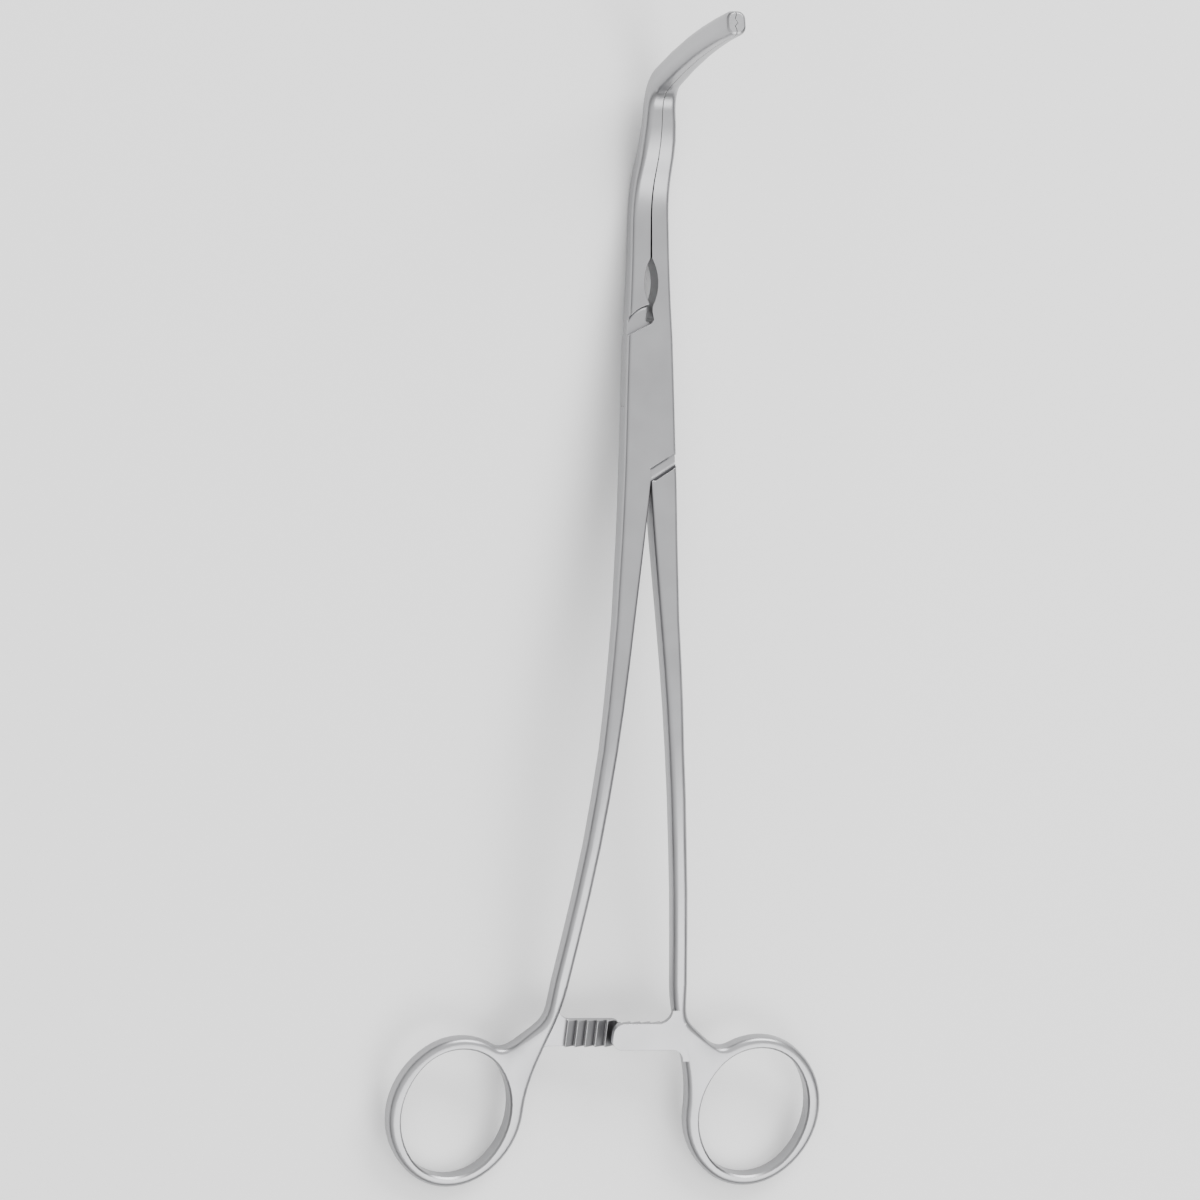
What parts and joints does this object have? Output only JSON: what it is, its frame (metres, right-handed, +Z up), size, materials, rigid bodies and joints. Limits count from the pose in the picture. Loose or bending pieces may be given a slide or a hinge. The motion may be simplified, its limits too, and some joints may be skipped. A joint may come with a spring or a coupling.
{
  "type": "aortic clamp",
  "caption": "Long box-lock vascular clamp with sharply bent jaws, ring handles and an interlocking ratchet, in satin stainless steel.",
  "frame": {"origin": "on the resting plane, under the middle of the closed clamp's box", "axes": "+Y from the finger rings to the jaws, +Z up, with the clamp on its back and the jaw tips pointing up, +X to the side of the male half's ring"},
  "size_m": [0.1046, 0.2782, 0.0537],
  "materials": {
    "satin_steel": "satin, glass bead blasted"
  },
  "bodies": {
    "female": {"female_half": "satin_steel", "lock_pin": "satin_steel"},
    "male": {"male_half": "satin_steel"}
  },
  "joints": [
    {"name": "box_lock", "type": "hinge", "parent": "female", "child": "male", "pos_m": [0, 0.04408, 0.00867], "axis": [0, 0.1616, 0.9869], "range_deg": [0, 40]}
  ]
}
